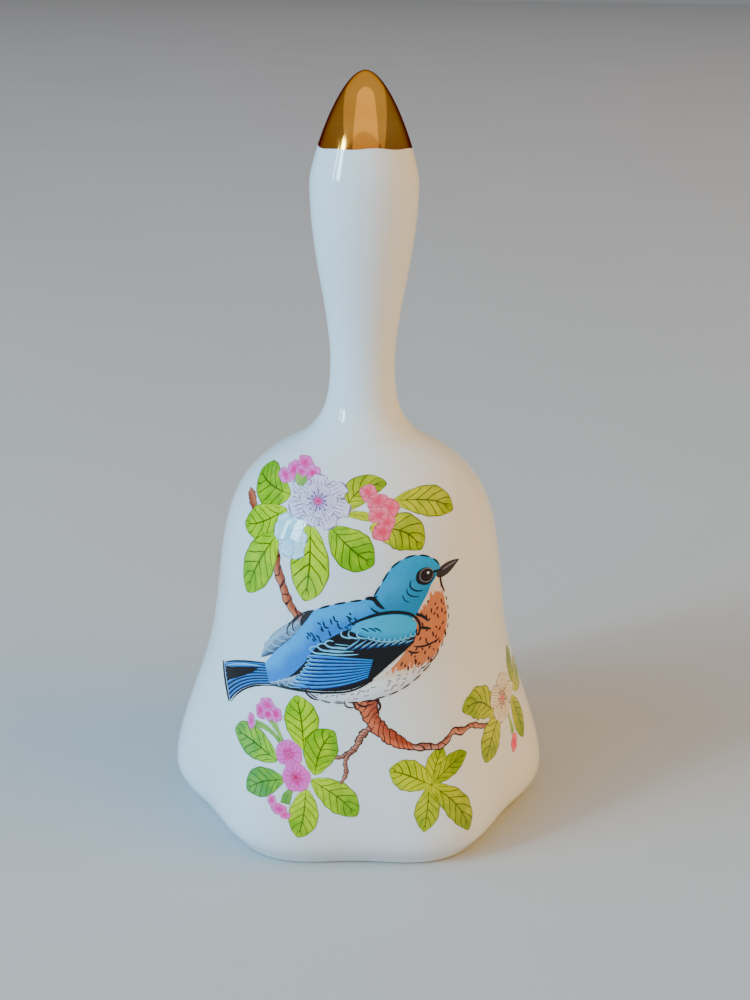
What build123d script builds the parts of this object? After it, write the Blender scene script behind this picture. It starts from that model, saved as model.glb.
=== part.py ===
"""Porcelain hand bell, in millimetres.

A six-fluted bell body, a hollow vase-shaped handle seated in its crown, and gilding on the handle's tip.
Inside, a swivel eye turns in a bush in the crown, and a porcelain clapper swings from the eye on a wire.
+Z is up, -Y is the decorated front, and the origin is the centre of the flat rim that the bell stands on.
"""

import os
from math import cos, hypot, pi, sin

from build123d import *

# ---- the outline: radius, height and slope of the places where its curve changes ----
overall_height = 150.0
rim_radius = 34.2
belly_radius, belly_height = 37.7, 7.0
skirt_radius, skirt_height, skirt_slope = 30.4, 39.8, -0.15
shoulder_radius, shoulder_height, shoulder_slope = 22.5, 71.4, -0.91
foot_radius, foot_height, foot_slope = 10.6, 80.3, -0.96
waist_radius, waist_height = 6.45, 94.0
swell_radius, swell_height = 10.55, 129.3

# ---- the flutes round the skirt ----
flute_count = 6
flute_depth = 1.65
flute_height = 39.5
section_points = 8 * flute_count
sections_per_curve = 7

# ---- porcelain walls, and where the handle's spigot sits in the crown ----
wall = 3.0
crown_thickness = 3.2
lip_fillet = 0.8
spigot_radius = 5.6
spigot_length = 1.6
joint_gap = 0.05

# ---- gilding ----
gold_line_height = 136.0
gold_thickness = 0.12

# ---- hanger in the crown: plug, bush, swivel eye and the washer under its head ----
plug_length = 8.5
bush_radius = 1.7
flange_radius, flange_thickness = 2.7, 0.5
shank_radius = 0.75
running_gap = 0.05
end_play = 0.12
eye_washer_radius, eye_washer_thickness = 2.3, 0.4
eye_head_radius, eye_head_height = 1.3, 0.7
eye_ring_radius, eye_wire_radius = 1.9, 0.7
eye_drop = 0.35

# ---- clapper: looped wire, crimp sleeve, washers and ball ----
loop_ring_radius, loop_wire_radius = 1.9, 0.6
loop_gap = 0.12
ball_radius, ball_height = 7.5, 18.5
ball_flat = 0.35
bore_gap = 0.1
seat_gap = 0.03
ball_washer_radius, ball_washer_thickness = 2.2, 0.4
crimp_radius, crimp_length = 1.15, 3.0
rivet_radius, rivet_height = 1.2, 0.8


# ---- the outline's curves, from the rim up to the tip ----
def along(point, slope, rise):
    """The point rise above this one, on a line whose radius grows by slope for each millimetre."""
    return point[0] + slope * rise, point[1] + rise


rim = (rim_radius, 0.0)
belly = (belly_radius, belly_height)
skirt = (skirt_radius, skirt_height)
shoulder = (shoulder_radius, shoulder_height)
foot = (foot_radius, foot_height)
waist = (waist_radius, waist_height)
swell = (swell_radius, swell_height)
tip = (0.0, overall_height)

flare = skirt_height - belly_height
barrel = shoulder_height - skirt_height
crown = foot_height - shoulder_height
neck = waist_height - foot_height
grip = swell_height - waist_height
dome = overall_height - swell_height

body_outline = [
    (rim, along(rim, 0.56, 0.37 * belly_height), along(belly, 0, -0.5 * belly_height), belly),
    (belly, along(belly, 0, 0.25 * flare), along(skirt, skirt_slope, -0.35 * flare), skirt),
    (
        skirt,
        along(skirt, skirt_slope, 0.42 * barrel),
        along(shoulder, shoulder_slope, -0.22 * barrel),
        shoulder,
    ),
    (
        shoulder,
        along(shoulder, shoulder_slope, 0.68 * crown),
        along(foot, foot_slope, -0.35 * crown),
        foot,
    ),
]
handle_outline = [
    (foot, along(foot, foot_slope, 0.22 * neck), along(waist, 0, -0.55 * neck), waist),
    (waist, along(waist, 0, 0.3 * grip), along(swell, 0, -0.4 * grip), swell),
    (swell, along(swell, 0, 0.19 * dome), (0.46 * swell_radius, overall_height), tip),
]


def bezier_point(controls, t):
    """Point at t on a cubic Bezier curve."""
    a, b, c, d = controls
    s = 1 - t
    return [s**3 * a[i] + 3 * s * s * t * b[i] + 3 * s * t * t * c[i] + t**3 * d[i] for i in (0, 1)]


def bezier_direction(controls, t):
    """Unit tangent at t on a cubic Bezier curve."""
    a, b, c, d = controls
    s = 1 - t
    x, y = (s * s * (b[i] - a[i]) + 2 * s * t * (c[i] - b[i]) + t * t * (d[i] - c[i]) for i in (0, 1))
    return x / hypot(x, y), y / hypot(x, y)


def stations(outline, inset):
    """Points spaced along an outline, each moved inwards by inset, square to the curve."""
    found = []
    for controls in outline:
        last = controls is outline[-1]
        for i in range(sections_per_curve + last):
            t = i / sections_per_curve
            radius, height = bezier_point(controls, t)
            across, up = bezier_direction(controls, t)
            found.append((radius - inset * up, height + inset * across))
    return found


def drawn_in(dome_controls, thickness):
    """The curve of a dome, drawn in by a thickness at its side and at its top."""
    radius, height = dome_controls[0]
    share_in, share_down = thickness / radius, thickness / (dome_controls[-1][1] - height)
    return [(r - r * share_in, z - (z - height) * share_down) for r, z in dome_controls]


# ---- the fluted body ----
def flute_wave(height):
    """Depth of the flutes at a height: full at the rim, fading smoothly to nothing at flute_height."""
    share = min(1.0, max(0.0, 1 - height / flute_height))
    return flute_depth * share * share * (3 - 2 * share)


def fluted_section(radius, height):
    """Points round a section with waves in it, starting in the valley at the front."""
    wave = flute_wave(height)
    points = []
    for i in range(section_points):
        angle = 2 * pi * i / section_points
        r = radius - wave * cos(flute_count * angle)
        points.append((r * sin(angle), -r * cos(angle)))
    return points


crown_height = foot_height - crown_thickness
across, up = bezier_direction(body_outline[0], 0)
inner_rim = (rim_radius - wall * up, wall * across)
below_rim = (inner_rim[0] - wall * across, inner_rim[1] - wall * up)
inner_stations = [point for point in stations(body_outline, wall) if point[1] < crown_height]

with BuildPart() as bell_body:
    for radius, height in stations(body_outline, 0):
        with BuildSketch(Plane.XY.offset(height)):
            with BuildLine():
                Spline(*fluted_section(radius, height), periodic=True)
            make_face()
    loft()
    # the inside, one wall inwards, from below the rim up to the flat ceiling under the crown
    for radius, height in [below_rim, *inner_stations]:
        with BuildSketch(Plane.XY.offset(height)):
            with BuildLine():
                Spline(*fluted_section(radius, height), periodic=True)
            make_face()
    loft(mode=Mode.SUBTRACT)
    # the crown's bore, and the seat for the handle's spigot
    bore_radius = waist_radius - wall
    with Locations((0, 0, foot_height)):
        CounterBoreHole(
            radius=bore_radius,
            counter_bore_radius=spigot_radius + joint_gap,
            counter_bore_depth=spigot_length + joint_gap,
            depth=2 * crown_thickness,
        )
    fillet(bell_body.faces().sort_by(Axis.Z)[0].edges(), radius=lip_fillet)


# ---- gilding: a skin let into the tip, from the gold line up ----
with BuildPart() as gold_tip:
    with BuildSketch(Plane.XZ):
        with BuildLine():
            Bezier(*handle_outline[-1])
            Polyline(tip, (0, swell_height), swell)
        make_face()
        skin_back = drawn_in(handle_outline[-1], gold_thickness)
        with BuildLine():
            Bezier(*skin_back)
            Polyline(skin_back[-1], (0, swell_height), skin_back[0])
        make_face(mode=Mode.SUBTRACT)
        with Locations((0, gold_line_height)):
            Rectangle(
                swell_radius, overall_height, align=(Align.MIN, Align.MIN), mode=Mode.INTERSECT
            )
    revolve(axis=Axis.Z)


# ---- the hollow handle, with a spigot that centres it in the crown ----
with BuildPart() as handle:
    with BuildSketch(Plane.XZ):
        with BuildLine():
            for controls in handle_outline:
                Bezier(*controls)
            Polyline(
                tip,
                (0, foot_height - spigot_length),
                (spigot_radius, foot_height - spigot_length),
                (spigot_radius, foot_height),
                foot,
            )
        make_face()
        # a straight bore as far as the waist, then a hollow one wall inside the grip and the dome
        grip_hollow = stations(handle_outline[1:2], wall)
        dome_hollow = drawn_in(handle_outline[2], wall)
        with BuildLine():
            Spline(*grip_hollow, tangents=((0, 1), (0, 1)))
            Bezier(*dome_hollow)
            Polyline(
                dome_hollow[-1],
                (0, foot_height - spigot_length),
                (grip_hollow[0][0], foot_height - spigot_length),
                grip_hollow[0],
            )
        make_face(mode=Mode.SUBTRACT)
    revolve(axis=Axis.Z)
    add(gold_tip.part, mode=Mode.SUBTRACT)


# ---- plug of casting plaster that fills the bore and locks the handle to the body ----
plug_top = crown_height + plug_length
with BuildPart() as neck_plug:
    with BuildSketch(Plane.XY.offset(crown_height)):
        Circle(bore_radius - joint_gap)
        Circle(bush_radius + joint_gap, mode=Mode.SUBTRACT)
    extrude(amount=plug_length)


# ---- brass bush: a tube through the plug, with a flange under the ceiling ----
bush_bottom = crown_height - joint_gap - flange_thickness
with BuildPart() as hanger_bush:
    with BuildSketch(Plane.XY.offset(bush_bottom)):
        Circle(bush_radius)
    extrude(amount=plug_top - bush_bottom)
    with BuildSketch(Plane.XY.offset(bush_bottom)):
        Circle(flange_radius)
    extrude(amount=flange_thickness)
    with Locations((0, 0, bush_bottom)):
        Hole(radius=shank_radius + running_gap)


# ---- swivel eye: a ring below the bush, a shank through it and a riveted head above ----
eye_height = bush_bottom - eye_drop - eye_wire_radius - eye_ring_radius
washer_bottom = plug_top + end_play
head_bottom = washer_bottom + eye_washer_thickness + seat_gap
with BuildPart() as swivel_eye:
    with Locations(Location((0, 0, eye_height), (90, 0, 0))):
        Torus(eye_ring_radius, eye_wire_radius)
    with BuildSketch(Plane.XY.offset(eye_height + eye_ring_radius)):
        Circle(shank_radius)
    extrude(amount=head_bottom - eye_height - eye_ring_radius)
    with BuildSketch(Plane.XY.offset(head_bottom)):
        Circle(eye_head_radius)
    extrude(amount=eye_head_height)
    fillet(swivel_eye.edges().sort_by(Axis.Z)[-1], radius=eye_head_height / 2)

with BuildPart() as eye_washer:
    with BuildSketch(Plane.XY.offset(washer_bottom)):
        Circle(eye_washer_radius)
        Circle(shank_radius + running_gap, mode=Mode.SUBTRACT)
    extrude(amount=eye_washer_thickness)


# ---- clapper: the loop hangs on the bottom of the eye, which is where it swings ----
pivot_height = eye_height - eye_ring_radius
loop_height = pivot_height + eye_wire_radius + loop_gap + loop_wire_radius - loop_ring_radius
loop_bottom = loop_height - loop_ring_radius
half_ball = ball_radius - ball_flat
upper_washer_bottom = ball_height + half_ball + seat_gap
lower_washer_bottom = ball_height - half_ball - seat_gap - ball_washer_thickness
crimp_bottom = upper_washer_bottom + ball_washer_thickness + seat_gap
rivet_bottom = lower_washer_bottom - seat_gap - rivet_height

with BuildPart() as clapper_wire:
    with Locations(Location((0, 0, loop_height), (0, 90, 0))):
        Torus(loop_ring_radius, loop_wire_radius)
    with BuildSketch(Plane.XY.offset(rivet_bottom)):
        Circle(loop_wire_radius)
    extrude(amount=loop_bottom - rivet_bottom)
    with BuildSketch(Plane.XY.offset(rivet_bottom)):
        Circle(rivet_radius)
    extrude(amount=rivet_height)
    fillet(clapper_wire.edges().sort_by(Axis.Z)[0], radius=rivet_height / 2)

with BuildPart() as clapper_ball:
    with Locations((0, 0, ball_height)):
        Sphere(ball_radius)
        Box(2 * ball_radius, 2 * ball_radius, 2 * half_ball, mode=Mode.INTERSECT)
        Hole(radius=loop_wire_radius + bore_gap)

with BuildPart() as washer_above_ball:
    with BuildSketch(Plane.XY.offset(upper_washer_bottom)):
        Circle(ball_washer_radius)
        Circle(loop_wire_radius + running_gap, mode=Mode.SUBTRACT)
    extrude(amount=ball_washer_thickness)

with BuildPart() as washer_below_ball:
    with BuildSketch(Plane.XY.offset(lower_washer_bottom)):
        Circle(ball_washer_radius)
        Circle(loop_wire_radius + running_gap, mode=Mode.SUBTRACT)
    extrude(amount=ball_washer_thickness)

with BuildPart() as crimp_sleeve:
    with BuildSketch(Plane.XY.offset(crimp_bottom)):
        Circle(crimp_radius)
        Circle(loop_wire_radius + seat_gap, mode=Mode.SUBTRACT)
    extrude(amount=crimp_length)


# ---- write every piece ----
pieces = {
    "bell_body": bell_body,
    "handle": handle,
    "gold_tip": gold_tip,
    "neck_plug": neck_plug,
    "hanger_bush": hanger_bush,
    "swivel_eye": swivel_eye,
    "eye_washer": eye_washer,
    "clapper_wire": clapper_wire,
    "clapper_ball": clapper_ball,
    "washer_above_ball": washer_above_ball,
    "washer_below_ball": washer_below_ball,
    "crimp_sleeve": crimp_sleeve,
}
os.makedirs("parts", exist_ok=True)
for name, piece in pieces.items():
    piece.part.label = name
    export_step(piece.part, f"parts/{name}.step")

print(f"clapper pivot at {pivot_height:.3f}, ball {pivot_height - ball_height:.3f} below it")
print(f"ceiling at {crown_height:.3f}, lowest point of the clapper at {rivet_bottom:.3f}")
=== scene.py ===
"""Porcelain hand bell with a painted bird and blossom spray, standing on a pale floor.

The CAD frame is in metres. Shapes are worked out in millimetres and scaled where a mesh is made.
The decoration is drawn on the wall's own chart: x is the distance round the wall from the front line,
to the right, and y is the distance up the wall from the rim, measured along its curve.
"""

import bpy
import numpy as np
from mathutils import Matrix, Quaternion, Vector


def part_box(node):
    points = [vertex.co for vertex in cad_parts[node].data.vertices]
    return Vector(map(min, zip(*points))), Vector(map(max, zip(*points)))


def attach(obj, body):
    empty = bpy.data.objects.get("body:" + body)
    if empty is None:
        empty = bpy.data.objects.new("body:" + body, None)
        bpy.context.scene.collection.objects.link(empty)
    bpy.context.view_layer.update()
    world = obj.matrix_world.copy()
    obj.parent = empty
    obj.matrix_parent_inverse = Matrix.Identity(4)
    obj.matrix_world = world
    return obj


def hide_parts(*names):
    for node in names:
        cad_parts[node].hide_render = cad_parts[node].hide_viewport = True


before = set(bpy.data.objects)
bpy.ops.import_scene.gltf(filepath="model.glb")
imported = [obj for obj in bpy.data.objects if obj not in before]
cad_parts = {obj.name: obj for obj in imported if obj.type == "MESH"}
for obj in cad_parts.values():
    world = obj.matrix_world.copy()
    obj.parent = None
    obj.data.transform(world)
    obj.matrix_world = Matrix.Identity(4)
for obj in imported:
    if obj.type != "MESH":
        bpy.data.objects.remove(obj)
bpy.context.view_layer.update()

MM = 0.001

# ---- the outline, as in the frame: radius, height and slope where the curve changes, in millimetres ----
overall_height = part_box("gold_tip")[1].z / MM
foot_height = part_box("bell_body")[1].z / MM
crown_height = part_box("neck_plug")[0].z / MM
gold_line_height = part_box("gold_tip")[0].z / MM
rim, rim_slope = (34.2, 0.0), 0.56
belly = (37.7, 7.0)
skirt, skirt_slope = (30.4, 39.8), -0.15
shoulder, shoulder_slope = (22.5, 71.4), -0.91
foot, foot_slope = (10.6, foot_height), -0.96
waist = (6.45, 94.0)
swell = (10.55, 129.3)
tip = (0.0, overall_height)
wall = 3.0
bore_radius = waist[0] - wall
lip_round, lip_slope = 0.8, 0.5
gold_bed, gold_thickness = 0.03, 0.1

flute_count = 6
flute_depth = 1.65
flute_height = 39.5


# ---- outline curves ----
def along(point, slope, rise):
    """The point rise above this one, on a line whose radius grows by slope for each millimetre."""
    return point[0] + slope * rise, point[1] + rise


def bezier(controls, count):
    """Points on a cubic Bezier curve: the four controls weighted by the Bernstein polynomials of t."""
    a, b, c, d = (np.array(p, float) for p in controls)
    t = np.linspace(0, 1, count)[:, None]
    s = 1 - t
    return s**3 * a + 3 * s * s * t * b + 3 * s * t * t * c + t**3 * d


def joined(curves, count):
    """The curves end to end, count points on each, with each shared end kept once."""
    parts = [bezier(c, count)[:-1] for c in curves]
    return np.concatenate(parts + [np.array(curves[-1][-1:], float)])


def outline_curves():
    """The outline's cubic Bezier curves, from the rim up to the tip.

    Each inner control stands on its end's tangent, at a share of the height that the curve climbs.
    """
    flare, barrel = skirt[1] - belly[1], shoulder[1] - skirt[1]
    crown, neck = foot[1] - shoulder[1], waist[1] - foot[1]
    grip, dome = swell[1] - waist[1], tip[1] - swell[1]
    skirt_up, skirt_down = (along(skirt, skirt_slope, rise) for rise in (0.42 * barrel, -0.35 * flare))
    shoulder_up = along(shoulder, shoulder_slope, 0.68 * crown)
    shoulder_down = along(shoulder, shoulder_slope, -0.22 * barrel)
    foot_up, foot_down = (along(foot, foot_slope, rise) for rise in (0.22 * neck, -0.35 * crown))
    body = [
        (rim, along(rim, rim_slope, 0.37 * belly[1]), along(belly, 0, -0.5 * belly[1]), belly),
        (belly, along(belly, 0, 0.25 * flare), skirt_down, skirt),
        (skirt, skirt_up, shoulder_down, shoulder),
        (shoulder, shoulder_up, foot_down, foot),
    ]
    handle = [
        (foot, foot_up, along(waist, 0, -0.55 * neck), waist),
        (waist, along(waist, 0, 0.3 * grip), along(swell, 0, -0.4 * grip), swell),
        (swell, along(swell, 0, 0.19 * dome), (0.46 * swell[0], overall_height), tip),
    ]
    return body, handle


body_curves, handle_curves = outline_curves()
outline = joined(body_curves + handle_curves, 400)
outline_length = np.concatenate([[0], np.cumsum(np.hypot(*np.diff(outline, axis=0).T))])


def inset(points, depth):
    """Points moved inwards by depth, square to the curve that they follow."""
    step = np.gradient(points, axis=0)
    step /= np.hypot(step[:, 0], step[:, 1])[:, None]
    return points + depth * np.stack([-step[:, 1], step[:, 0]], 1)


def drawn_in(dome, thickness):
    """The controls of a dome's curve, drawn in by a thickness at its side and at its top."""
    radius, height = dome[0]
    share_in, share_down = thickness / radius, thickness / (dome[-1][1] - height)
    return [(r - r * share_in, z - (z - height) * share_down) for r, z in dome]


def flute_wave(height):
    """Depth of the flutes: full at the rim, fading by a smooth step to nothing at flute_height."""
    share = np.clip(1 - height / flute_height, 0, 1)
    return flute_depth * share * share * (3 - 2 * share)


# ---- meshes ----
def closed_mesh(name, points, faces, uv=None, tone=None):
    """A mesh in metres from points in millimetres. Its faces are turned round if their volume is negative."""
    mesh = bpy.data.meshes.new(name)
    corners = np.concatenate([np.array(f, int).ravel() for f in faces])
    sizes = np.concatenate([np.full(len(f), np.shape(f)[1]) for f in faces])
    starts = np.concatenate([[0], np.cumsum(sizes)[:-1]])
    a, b, c = points[corners[starts]], points[corners[starts + 1]], points[corners[starts + 2]]
    last = points[corners[starts + sizes - 1]]
    volume = np.einsum("ij,ij->", a, np.cross(b, c)) + np.einsum("ij,ij->", a, np.cross(c, last))
    if volume < 0:
        corners = corners[np.repeat(2 * starts + sizes - 1, sizes) - np.arange(len(corners))]
    mesh.vertices.add(len(points))
    mesh.vertices.foreach_set("co", (points * MM).ravel())
    mesh.loops.add(len(corners))
    mesh.loops.foreach_set("vertex_index", corners)
    mesh.polygons.add(len(sizes))
    mesh.polygons.foreach_set("loop_start", starts)
    mesh.polygons.foreach_set("use_smooth", np.ones(len(sizes), bool))
    if uv is not None:
        mesh.uv_layers.new(name="brush").data.foreach_set("uv", uv[corners].ravel())
    if tone is not None:
        mesh.attributes.new("tone", "FLOAT", "POINT").data.foreach_set("value", tone)
    mesh.update(calc_edges=True)
    mesh.validate()
    piece = bpy.data.objects.new(name, mesh)
    bpy.context.scene.collection.objects.link(piece)
    return piece


def ring_faces(rows, around, closed):
    """Quads between neighbouring rings of a grid of points, and back to the first ring if closed."""
    i = np.arange(rows if closed else rows - 1)[:, None]
    j = np.arange(around)[None, :]
    near, far = i * around, (i + 1) % rows * around
    j_next = (j + 1) % around
    return np.stack([near + j, near + j_next, far + j_next, far + j], -1).reshape(-1, 4)


def ring_angles(count):
    """Angles evenly round Z from the front line, as one row."""
    return np.linspace(0, 2 * np.pi, count, endpoint=False)[None, :]


def fluted(section, around):
    """Radii and heights of a section turned round: radius = section's, less the flute's wave cos(6 angle)."""
    radius, height = section[:, :1], section[:, 1:]
    wave = flute_wave(height) * np.cos(flute_count * ring_angles(around))
    return radius - wave, np.repeat(height, around, 1)


def turned(name, radius, height, closed, sharp_degrees=30):
    """Rings round Z: a row of radii and heights for each ring, and a column for each angle.

    Closed ones join the last ring to the first; open ones start and end on the axis, in fans.
    """
    rows, around = radius.shape
    angle = ring_angles(around)
    grid = np.stack([radius * np.sin(angle), -radius * np.cos(angle), height], -1)
    if closed:
        points, faces = grid.reshape(-1, 3), [ring_faces(rows, around, True)]
    else:
        points = np.concatenate([grid[1:-1].reshape(-1, 3), grid[0, :1], grid[-1, :1]])
        low = np.arange(around)
        low_next, top = (low + 1) % around, (rows - 3) * around
        start, end = (np.full(around, (rows - 2) * around + k) for k in (0, 1))
        fans = [np.stack([low_next, low, start], -1), np.stack([top + low, top + low_next, end], -1)]
        faces = [ring_faces(rows - 2, around, False)] + fans
    piece = closed_mesh(name, points, faces)
    piece.data.set_sharp_from_angle(angle=np.radians(sharp_degrees))
    return piece


# ---- node helpers ----
class Graph:
    """Short ways to add nodes to one node tree. Sockets and plain numbers can both be given as inputs."""

    def __init__(self, tree):
        self.tree = tree

    def node(self, kind, inputs=None, **settings):
        made = self.tree.nodes.new(kind)
        for key, value in settings.items():
            setattr(made, key, value)
        for key, value in (inputs or {}).items():
            self.feed(made.inputs[key], value)
        return made

    def feed(self, socket, value):
        if isinstance(value, bpy.types.NodeSocket):
            self.tree.links.new(value, socket)
        else:
            socket.default_value = value

    def math(self, operation, *values):
        made = self.node("ShaderNodeMath", operation=operation)
        for socket, value in zip(made.inputs, values):
            self.feed(socket, value)
        return made.outputs[0]

    def step(self, value, low, high, start=0.0, end=1.0):
        """Smooth step of value from start at low to end at high."""
        made = self.node(
            "ShaderNodeMapRange",
            {"Value": value, "From Min": low, "From Max": high, "To Min": start, "To Max": end},
            interpolation_type="SMOOTHSTEP",
        )
        return made.outputs[0]

    def mix(self, factor, a, b):
        made = self.node("ShaderNodeMix", data_type="RGBA")
        for index, value in ((0, factor), (6, a), (7, b)):
            self.feed(made.inputs[index], colour(value) if isinstance(value, tuple) else value)
        return made.outputs[2]

    def noise(self, vector, scale, detail=3.0, roughness=0.5):
        made = self.node(
            "ShaderNodeTexNoise",
            {"Vector": vector, "Scale": scale, "Detail": detail, "Roughness": roughness},
        )
        return made.outputs[0]

    def stretched(self, vector, scale, turn=(0.0, 0.0, 0.0)):
        made = self.node("ShaderNodeMapping", {"Vector": vector, "Scale": scale, "Rotation": turn})
        return made.outputs[0]

    def bump(self, height, strength, distance):
        made = self.node("ShaderNodeBump", {"Height": height, "Strength": strength, "Distance": distance})
        return made.outputs[0]

    def part(self, vector, index):
        """One coordinate of a vector: 0, 1 or 2."""
        return self.node("ShaderNodeSeparateXYZ", {"Vector": vector}).outputs[index]


def colour(rgb):
    """A colour given in 0-255 display values, as linear RGBA."""
    c = np.array(rgb, float) / 255
    linear = np.where(c <= 0.04045, c / 12.92, ((c + 0.055) / 1.055) ** 2.4)
    return (*linear.tolist(), 1.0)


def fired_gloss_effect():
    """Glaze as it comes from the kiln: slow ripples, fine orange peel, rare pinholes and handling smears."""
    tree = bpy.data.node_groups.new("fired_gloss", "ShaderNodeTree")
    for label, kind in (("Place", "Vector"), ("Ripple", "Float"), ("Roughness", "Float")):
        tree.interface.new_socket(label, in_out="INPUT", socket_type="NodeSocket" + kind)
    for label, kind in (("Normal", "Vector"), ("Roughness", "Float"), ("Speck", "Float")):
        tree.interface.new_socket(label, in_out="OUTPUT", socket_type="NodeSocket" + kind)
    g = Graph(tree)
    given, out = g.node("NodeGroupInput").outputs, g.node("NodeGroupOutput").inputs
    place = given["Place"]
    height = g.math("MULTIPLY_ADD", g.noise(place, 900, 1), 0.05, g.noise(place, 95, 2))
    pores = g.node("ShaderNodeTexVoronoi", {"Vector": place, "Scale": 260}).outputs["Distance"]
    chosen = g.step(g.noise(place, 210, 0), 0.70, 0.74)
    speck = g.math("MULTIPLY", g.step(pores, 0.03, 0.07, 1, 0), chosen)
    height = g.math("MULTIPLY_ADD", speck, -0.15, height)
    smear = g.step(g.noise(g.stretched(place, (1, 1, 0.35)), 70, 5, 0.6), 0.50, 0.75)
    g.feed(out["Normal"], g.bump(height, given["Ripple"], 0.00025))
    g.feed(out["Roughness"], g.math("MULTIPLY_ADD", smear, 0.05, given["Roughness"]))
    g.feed(out["Speck"], speck)
    return tree


fired_gloss = fired_gloss_effect()


class Finish(Graph):
    """A new material with constants set on its Principled shader, and its object coordinates, place."""

    def __init__(self, name, **constants):
        self.made = bpy.data.materials.new(name)
        self.made.use_nodes = True
        super().__init__(self.made.node_tree)
        self.shader = self.tree.nodes["Principled BSDF"]
        for key, value in constants.items():
            self.put(key.replace("_", " "), value)
        self.place = self.node("ShaderNodeTexCoord").outputs["Object"]

    def put(self, label, value):
        """Sets one of the shader's inputs, or joins a socket to it."""
        self.feed(self.shader.inputs[label], value)

    def glossed(self, ripple, roughness):
        """Places the fired gloss, joins its normal and returns its outputs."""
        given = {"Place": self.place, "Ripple": ripple, "Roughness": roughness}
        gloss = self.node("ShaderNodeGroup", given, node_tree=fired_gloss).outputs
        self.put("Normal", gloss["Normal"])
        return gloss


# ---- finishes of the pieces ----
def white_glaze():
    """White porcelain under clear glaze, with the bare biscuit ring that stood on the kiln shelf."""
    g = Finish("white_glaze", Coat_Roughness=0.03, Specular_IOR_Level=0, Subsurface_Weight=0.12)
    g.put("Subsurface Scale", 0.0015)
    gloss = g.glossed(0.35, 0.16)
    body = g.mix(g.noise(g.place, 28, 4, 0.6), (228, 229, 230), (238, 238, 237))
    body = g.mix(g.math("MULTIPLY", gloss["Speck"], 0.6), body, (120, 104, 84))
    edge = g.math("MULTIPLY_ADD", g.noise(g.place, 400, 3), 0.0002, g.part(g.place, 2))
    bare = g.step(edge, 0.00018, 0.00042, 1, 0)
    grit = g.mix(g.noise(g.place, 2600, 2), (196, 186, 168), (224, 216, 202))
    g.put("Base Color", g.mix(bare, body, grit))
    g.put("Roughness", g.math("MULTIPLY_ADD", bare, 0.55, gloss["Roughness"]))
    g.put("Coat Weight", g.math("SUBTRACT", 1, bare))
    return g.made


def fired_gold():
    """Bright gold lustre, faintly streaked round the tip, redder at its edge, with painted brown shade where
    it turns away from view.
    """
    g = Finish("fired_gold", Metallic=1, Specular_Tint=colour((196, 120, 70)))
    streak = g.noise(g.stretched(g.place, (1, 1, 6)), 60, 4, 0.6)
    low, high = (gold_line_height - 1.5) * MM, (gold_line_height + 5) * MM
    thin = g.step(g.part(g.place, 2), low, high, 0.7, 0)
    rich = g.mix(thin, g.mix(streak, (248, 164, 48), (255, 186, 84)), (226, 136, 50))
    # Painted shade: where the gold turns away from view its colour goes to dark brown, standing in for the
    # dark edges of its reflection.
    painted_shade_facing = g.node("ShaderNodeLayerWeight", {"Blend": 0.5}).outputs["Facing"]
    g.put("Base Color", g.mix(g.step(painted_shade_facing, 0.46, 0.92), rich, (84, 44, 18)))
    rubbed = g.step(g.noise(g.place, 140, 5, 0.65), 0.52, 0.72)
    rough = g.math("MULTIPLY_ADD", streak, 0.04, g.math("MULTIPLY_ADD", rubbed, 0.08, 0.04))
    g.put("Roughness", rough)
    g.put("Normal", g.bump(g.noise(g.place, 90, 2), 0.3, 0.0002))
    return g.made


def worked_brass():
    """Drawn brass wire and stamped washers: fine draw lines, browner where it has dulled."""
    g = Finish("worked_brass", Metallic=1)
    lines = g.noise(g.stretched(g.place, (1, 1, 0.04)), 5000, 2)
    dull = g.step(g.noise(g.place, 500, 5, 0.65), 0.40, 0.70)
    bright = g.mix(lines, (198, 160, 88), (222, 186, 112))
    g.put("Base Color", g.mix(g.math("MULTIPLY", dull, 0.6), bright, (134, 98, 52)))
    g.put("Roughness", g.step(dull, 0, 1, 0.24, 0.46))
    g.put("Normal", g.bump(lines, 0.4, 0.00003))
    return g.made


def casting_plaster():
    """Set plaster: chalky, with small air holes."""
    g = Finish("casting_plaster", Roughness=0.9)
    grain = g.noise(g.place, 1800, 4, 0.6)
    g.put("Base Color", g.mix(grain, (206, 202, 192), (232, 229, 220)))
    holes = g.node("ShaderNodeTexVoronoi", {"Vector": g.place, "Scale": 1500}).outputs["Distance"]
    g.put("Normal", g.bump(g.math("ADD", grain, g.step(holes, 0.1, 0.25)), 0.6, 0.0001))
    return g.made


def dress(piece, finish):
    """Gives a piece, or a node of the frame, one finish."""
    piece.data.materials.clear()
    piece.data.materials.append(finish)


def keep(piece, body, finish, slot, *nodes):
    """Finishes a new piece, lets it ride on a body, and hides the frame's nodes that it stands for."""
    dress(piece, finish)
    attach(piece, body)
    if nodes:
        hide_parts(*nodes)


glaze = white_glaze()
gold = fired_gold()
brass = worked_brass()


# ---- the bell's own pieces ----
def lip_corner(start, corner, end):
    """A rounded corner: the quadratic Bezier curve from start to end, drawn towards the corner."""
    a, b, c = (np.array(p, float) for p in (start, corner, end))
    t = np.linspace(0, 1, 7)[:, None]
    return (1 - t) ** 2 * a + 2 * t * (1 - t) * b + t * t * c


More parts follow.
